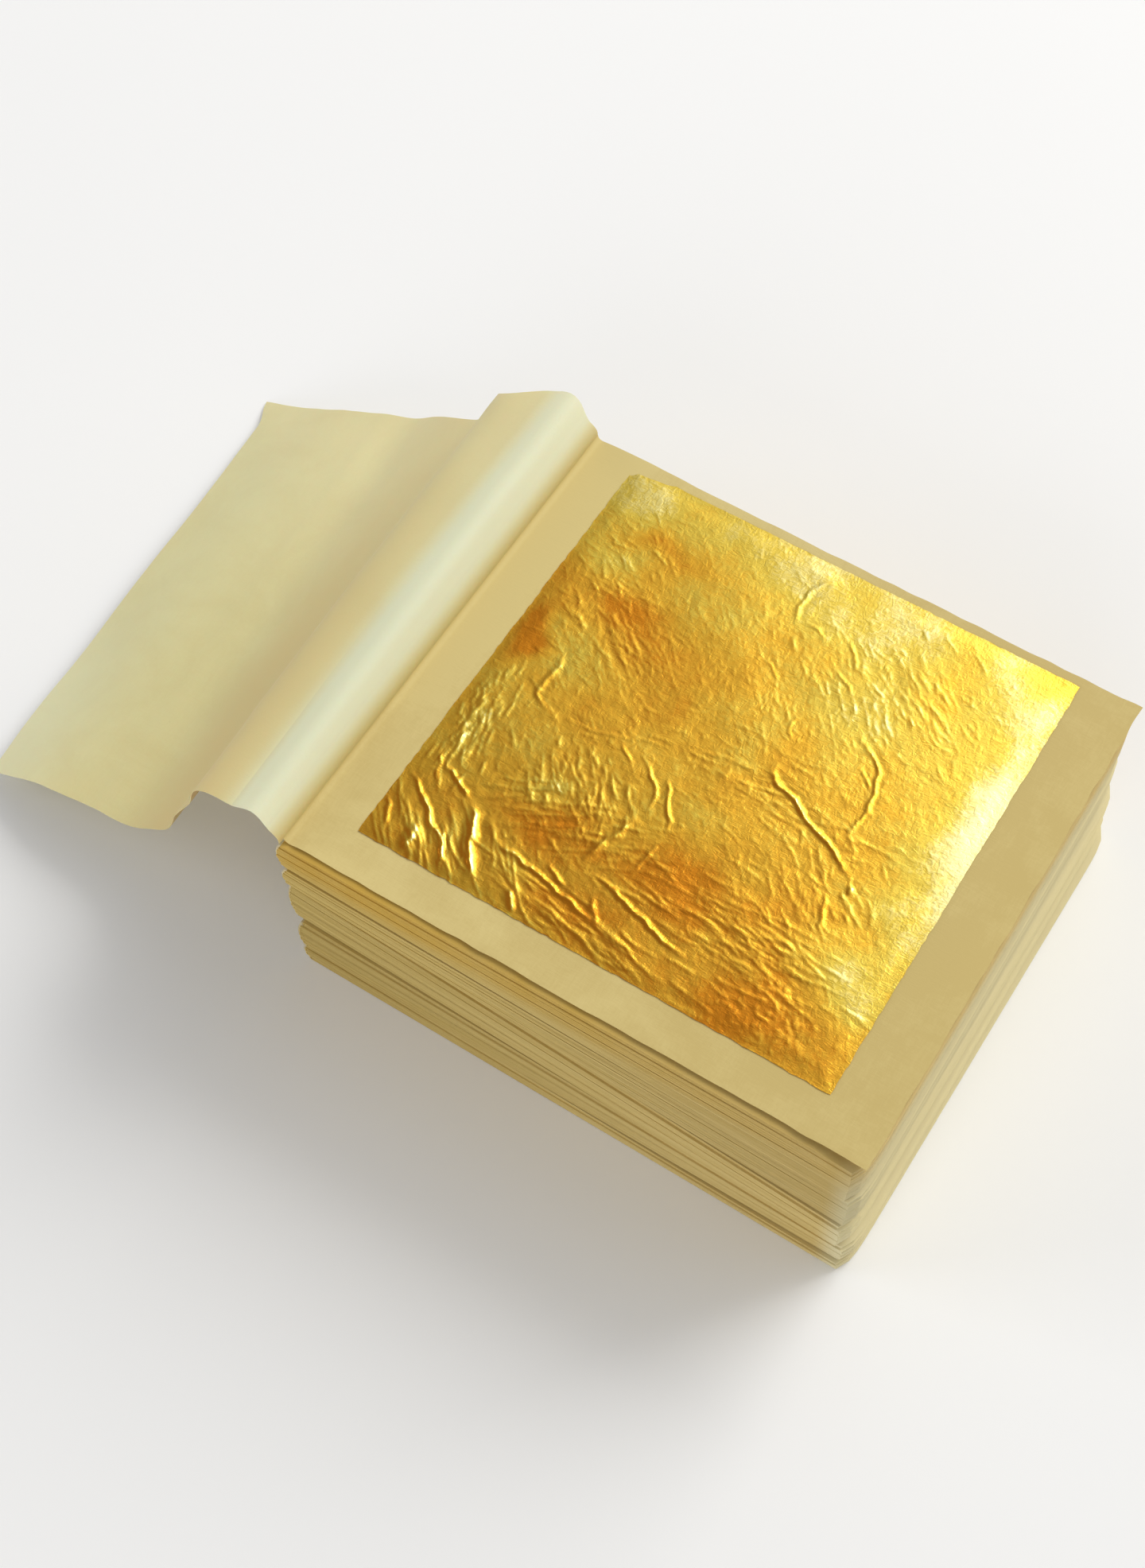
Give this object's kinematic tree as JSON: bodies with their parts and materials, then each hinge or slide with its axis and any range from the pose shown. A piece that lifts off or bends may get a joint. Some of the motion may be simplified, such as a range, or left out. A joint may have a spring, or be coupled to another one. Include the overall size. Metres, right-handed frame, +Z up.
{
  "type": "gold leaf booklet",
  "caption": "Pile of tissue booklets that hold loose gold leaf. The top one is open, its page turned back and a square leaf lies bare on the page beneath.",
  "frame": {"origin": "centre of the pile's underside, on the surface that it lies on", "axes": "+X from the spine to the fore-edge, +Y from the near edge to the far edge, +Z up"},
  "size_m": [0.1689, 0.0915, 0.0442],
  "materials": {
    "folded_tissue": "soft matt, warm tan",
    "open_tissue": "soft matt, light tan",
    "turned_tissue": "soft matt, pale cream, a little light comes through",
    "gold_leaf": "bright beaten gold, finely wrinkled",
    "padding_glue": "thin dried glue, satin"
  },
  "bodies": {
    "bottom_booklet": {"bottom_booklet_folios": "folded_tissue", "bottom_booklet_leaves": "gold_leaf", "bottom_booklet_spine_glue": "padding_glue"},
    "fourth_booklet": {"fourth_booklet_folios": "folded_tissue", "fourth_booklet_leaves": "gold_leaf", "fourth_booklet_spine_glue": "padding_glue"},
    "third_booklet": {"third_booklet_folios": "folded_tissue", "third_booklet_leaves": "gold_leaf", "third_booklet_spine_glue": "padding_glue"},
    "second_booklet": {"second_booklet_folios": "folded_tissue", "second_booklet_leaves": "gold_leaf", "second_booklet_spine_glue": "padding_glue"},
    "open_booklet": {"opened_page": "open_tissue", "upper_folio_1": "folded_tissue", "upper_folio_2": "folded_tissue", "upper_folio_3": "folded_tissue", "upper_folio_4": "folded_tissue", "upper_folio_5": "folded_tissue", "upper_leaf_1": "gold_leaf", "upper_leaf_2": "gold_leaf", "upper_leaf_3": "gold_leaf", "upper_leaf_4": "gold_leaf", "upper_leaf_5": "gold_leaf", "open_booklet_folios": "folded_tissue", "open_booklet_leaves": "gold_leaf", "open_booklet_spine_glue": "padding_glue"},
    "top_leaf": {"top_gold_leaf": "gold_leaf"},
    "page_1": {"page_strip_1": "turned_tissue"},
    "page_2": {"page_strip_2": "turned_tissue"},
    "page_3": {"page_strip_3": "turned_tissue"},
    "page_4": {"page_strip_4": "turned_tissue"},
    "page_5": {"page_strip_5": "turned_tissue"},
    "page_6": {"page_strip_6": "turned_tissue"}
  },
  "joints": [
    {"name": "fourth_lift", "type": "slide", "parent": "bottom_booklet", "child": "fourth_booklet", "axis": [0, 0, 1], "range_m": [0, 0.04]},
    {"name": "third_lift", "type": "slide", "parent": "fourth_booklet", "child": "third_booklet", "axis": [0, 0, 1], "range_m": [0, 0.04]},
    {"name": "second_lift", "type": "slide", "parent": "third_booklet", "child": "second_booklet", "axis": [0, 0, 1], "range_m": [0, 0.04]},
    {"name": "open_lift", "type": "slide", "parent": "second_booklet", "child": "open_booklet", "axis": [0, 0, 1], "range_m": [0, 0.04]},
    {"name": "leaf_slide", "type": "slide", "parent": "open_booklet", "child": "top_leaf", "axis": [1, 0, 0], "range_m": [0, 0.09]},
    {"name": "page_turn", "type": "hinge", "parent": "open_booklet", "child": "page_1", "pos_m": [-0.049, 0, 0.03786], "axis": [0, 1, 0], "range_deg": [0, 123]},
    {"name": "page_bend_1", "type": "hinge", "parent": "page_1", "child": "page_2", "pos_m": [-0.05296, 0, 0.04396], "axis": [-0.0031, 1, 0.0048], "range_deg": [0, 69.01]},
    {"name": "page_bend_2", "type": "hinge", "parent": "page_2", "child": "page_3", "pos_m": [-0.06322, 0.00004, 0.04178], "axis": [-0.0242, 0.9997, 0.0003], "range_deg": [0, 49.01]},
    {"name": "page_bend_3", "type": "hinge", "parent": "page_3", "child": "page_4", "pos_m": [-0.0745, 0.0004, 0.02146], "axis": [-0.016, -0.9972, -0.0726], "range_deg": [0, 23.01]},
    {"name": "page_bend_4", "type": "hinge", "parent": "page_4", "child": "page_5", "pos_m": [-0.08356, 0.00043, 0.01436], "axis": [0.0627, -0.998, -0.0111], "range_deg": [0, 24.01]},
    {"name": "page_bend_5", "type": "hinge", "parent": "page_5", "child": "page_6", "pos_m": [-0.10073, 0.00018, 0.01006], "axis": [-0.0358, 0.9992, 0.0179], "range_deg": [0, 12.01]}
  ],
  "couplings": [
    {"joint": "page_bend_1", "follows": "page_turn", "ratio": 0.56098},
    {"joint": "page_bend_2", "follows": "page_turn", "ratio": 0.39837},
    {"joint": "page_bend_3", "follows": "page_turn", "ratio": 0.18699},
    {"joint": "page_bend_4", "follows": "page_turn", "ratio": 0.19512},
    {"joint": "page_bend_5", "follows": "page_turn", "ratio": 0.097561}
  ]
}
